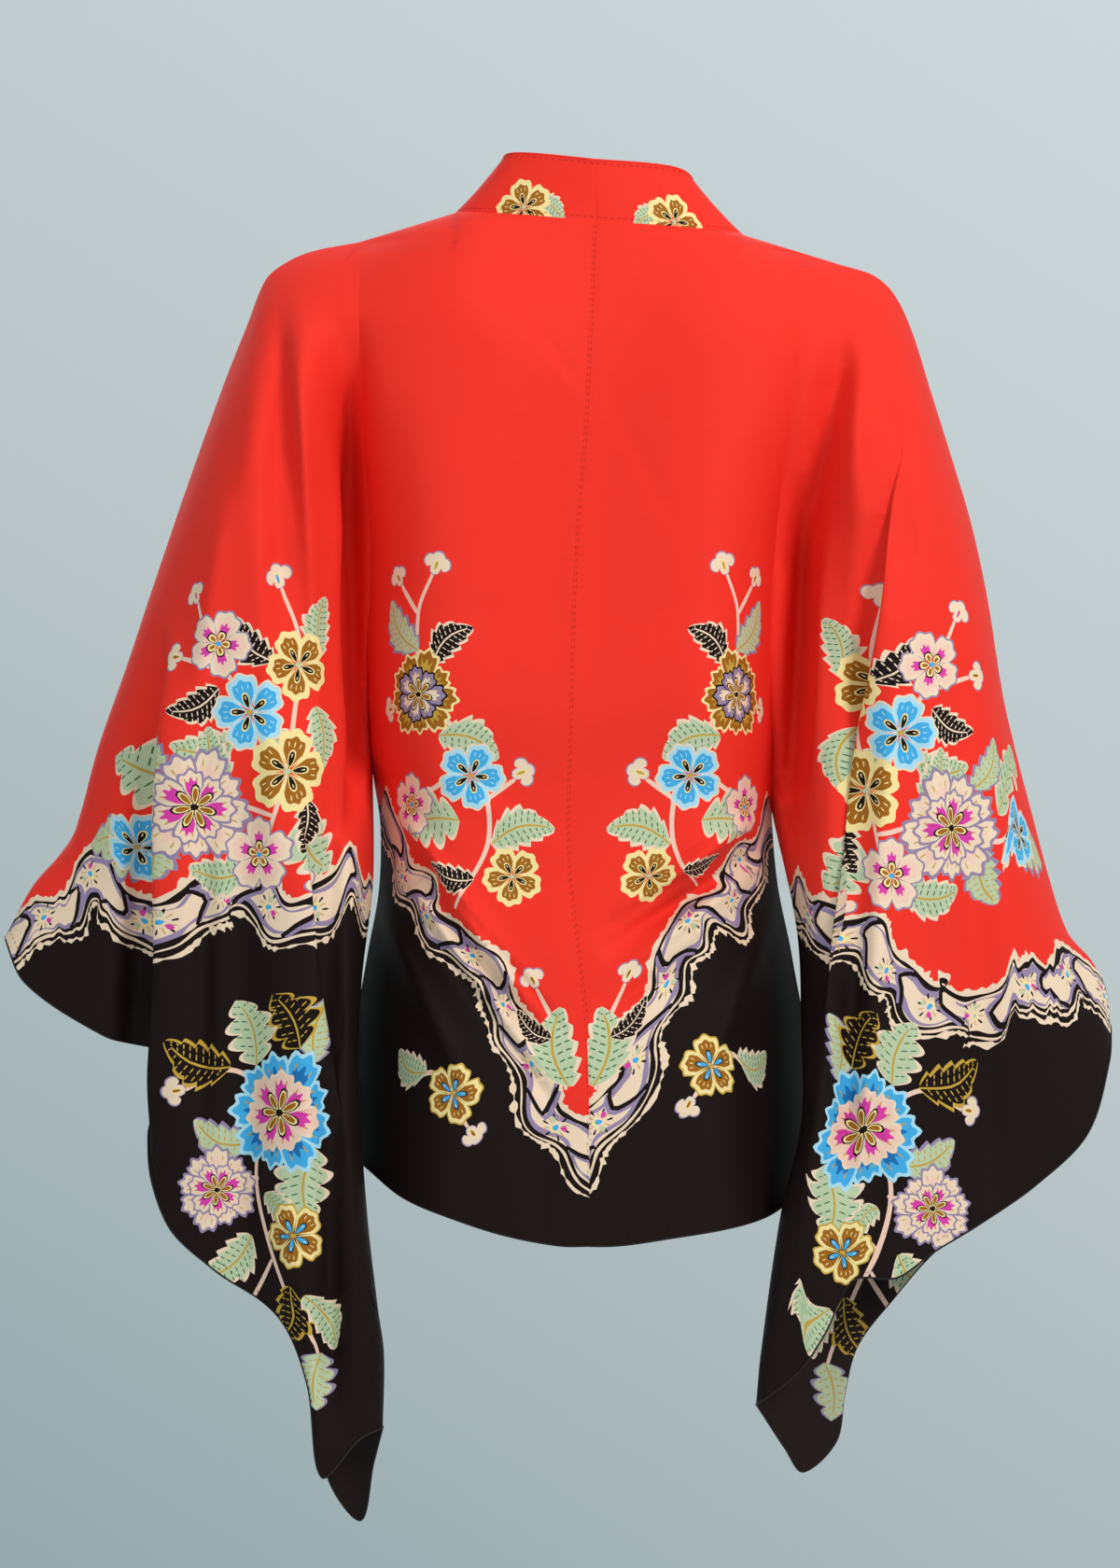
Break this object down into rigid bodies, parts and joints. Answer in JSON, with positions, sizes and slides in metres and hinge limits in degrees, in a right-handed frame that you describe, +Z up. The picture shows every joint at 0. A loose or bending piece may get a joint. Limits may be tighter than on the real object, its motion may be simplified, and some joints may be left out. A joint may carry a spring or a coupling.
{
  "type": "kimono jacket",
  "caption": "Kimono jacket in printed silk, in its worn form: a straight body open down the front, a standing neckband and wide hanging sleeves.",
  "frame": {"origin": "middle of the neck, level with the collar seam at the centre back", "axes": "+Z up, +X to the wearer's left, +Y to the back"},
  "size_m": [0.7569, 0.2541, 0.9259],
  "materials": {
    "printed_silk": "satin"
  },
  "bodies": {
    "root": {"back_left": "printed_silk", "back_right": "printed_silk", "front_left": "printed_silk", "front_right": "printed_silk", "sleeve_left_back": "printed_silk", "sleeve_left_front": "printed_silk", "sleeve_right_back": "printed_silk", "sleeve_right_front": "printed_silk", "neckband_left": "printed_silk", "neckband_right": "printed_silk"}
  },
  "joints": []
}
